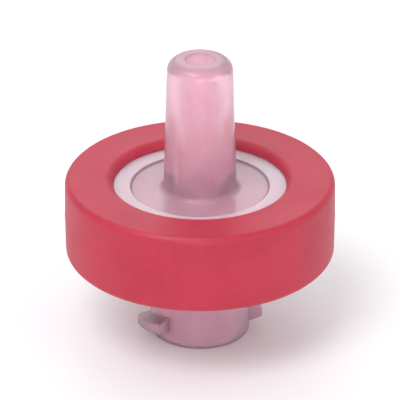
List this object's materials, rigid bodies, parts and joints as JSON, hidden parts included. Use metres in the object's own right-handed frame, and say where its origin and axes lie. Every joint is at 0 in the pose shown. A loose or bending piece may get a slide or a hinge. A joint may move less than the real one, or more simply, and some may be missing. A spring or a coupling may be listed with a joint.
{
  "type": "syringe filter",
  "caption": "Small overmoulded disc syringe filter: translucent shells with a female Luer lock inlet and a male Luer slip outlet round a membrane, held by a red ring.",
  "frame": {"origin": "centre of the inlet column's rim, the plane the filter stands on", "axes": "+Z along the flow axis from the inlet rim to the outlet tip; +X through the middle of one locking lug"},
  "size_m": [0.0166, 0.0166, 0.0183],
  "materials": {
    "natural_shell": "natural translucent polypropylene, satin moulded",
    "membrane": "white porous membrane, matt",
    "red_ring": "red polypropylene, semi-gloss moulded"
  },
  "bodies": {
    "root": {"inlet_shell": "natural_shell", "outlet_shell": "natural_shell", "filter_membrane": "membrane", "overmoulded_ring": "red_ring"}
  },
  "joints": []
}
